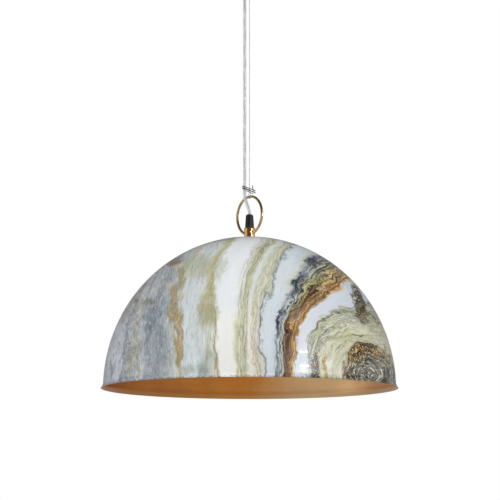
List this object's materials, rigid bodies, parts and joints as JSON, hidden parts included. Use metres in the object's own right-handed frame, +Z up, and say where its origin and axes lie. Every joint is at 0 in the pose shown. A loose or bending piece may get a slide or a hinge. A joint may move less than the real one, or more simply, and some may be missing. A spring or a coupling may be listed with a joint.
{
  "type": "dome pendant light",
  "caption": "Half-round dome pendant light hung from a flat ceiling rose on a wire and flex, with an open ring and a collar on top, and a globe bulb inside.",
  "frame": {"origin": "centre of the ceiling bracket's top face, which lies on the ceiling", "axes": "+Z up, along the shade's axis and the suspension wire; the flex hangs on the -X side of the wire; -Y faces the camera of the picture"},
  "size_m": [0.4499, 0.45, 0.649],
  "materials": {
    "zinc_plate": "bright zinc plate",
    "copper_finish": "polished copper plate",
    "black_plastic": "black moulded plastic",
    "white_nylon": "natural nylon",
    "brass": "plain turned brass",
    "steel_wire": "drawn steel wire",
    "clear_flex": "clear flexible sheath over two tinned twisted cores",
    "core_sleeve": "clear sleeve on a tinned core",
    "core_sleeve_pale": "clear sleeve on a tinned core, with a pale mark",
    "tie_wire": "dark annealed tie wire",
    "marble_lacquer": "gloss lacquer over a veined marble pattern in white, slate, ochre and olive",
    "copper_leaf": "satin copper leaf",
    "porcelain": "unglazed porcelain",
    "bulb_glass": "clear blown glass",
    "nickel_plate": "nickel plate",
    "dark_glass": "dark glass insulator",
    "phosphor": "yellow coated filament"
  },
  "bodies": {
    "ceiling_unit": {"ceiling_bracket": "zinc_plate", "canopy": "copper_finish", "canopy_screws": "copper_finish", "cord_outlet": "black_plastic", "outlet_nut": "zinc_plate", "outlet_screw": "white_nylon", "wire_anchor": "brass", "anchor_screw": "zinc_plate", "terminal_block": "white_nylon", "terminal_sleeves": "brass", "terminal_block_screws": "zinc_plate", "wire_in_canopy": "steel_wire", "flex_in_canopy": "clear_flex", "canopy_live_core": "core_sleeve", "canopy_neutral_core": "core_sleeve_pale"},
    "hanger": {"suspension_wire": "steel_wire", "wire_ferrule": "zinc_plate", "flex_tie": "tie_wire", "flex_drop": "clear_flex", "hanging_ring": "copper_finish"},
    "shade_unit": {"flex_bend": "clear_flex", "collar": "copper_finish", "cord_grip": "black_plastic", "grip_screw": "white_nylon", "flex_in_shade": "clear_flex", "threaded_tube": "brass", "shade": "marble_lacquer", "shade_lining": "copper_leaf", "crown_washer": "zinc_plate", "lock_washer": "zinc_plate", "crown_nut": "zinc_plate", "holder_cap": "black_plastic", "holder_body": "black_plastic", "contact_base": "porcelain", "centre_contact": "brass", "screw_shell": "brass", "holder_terminals": "brass", "holder_terminal_screws": "zinc_plate", "holder_live_core": "core_sleeve", "holder_neutral_core": "core_sleeve_pale"},
    "bulb": {"bulb_glass": "bulb_glass", "bulb_cap": "nickel_plate", "bulb_insulator": "dark_glass", "bulb_contact": "nickel_plate", "bulb_stem": "bulb_glass", "bulb_supports": "nickel_plate", "bulb_filaments": "phosphor"}
  },
  "joints": [
    {"name": "wire_swing", "type": "hinge", "parent": "ceiling_unit", "child": "hanger", "pos_m": [0, 0, -0.0345], "axis": [1, 0, 0], "range_deg": [-20, 20]},
    {"name": "shade_tilt", "type": "hinge", "parent": "hanger", "child": "shade_unit", "pos_m": [0, 0, -0.4106], "axis": [0.6428, -0.766, 0], "range_deg": [-25, 25], "deforming": ["flex_bend"]},
    {"name": "bulb_out", "type": "slide", "parent": "shade_unit", "child": "bulb", "axis": [0, 0, -1], "range_m": [0, 0.032]}
  ]
}
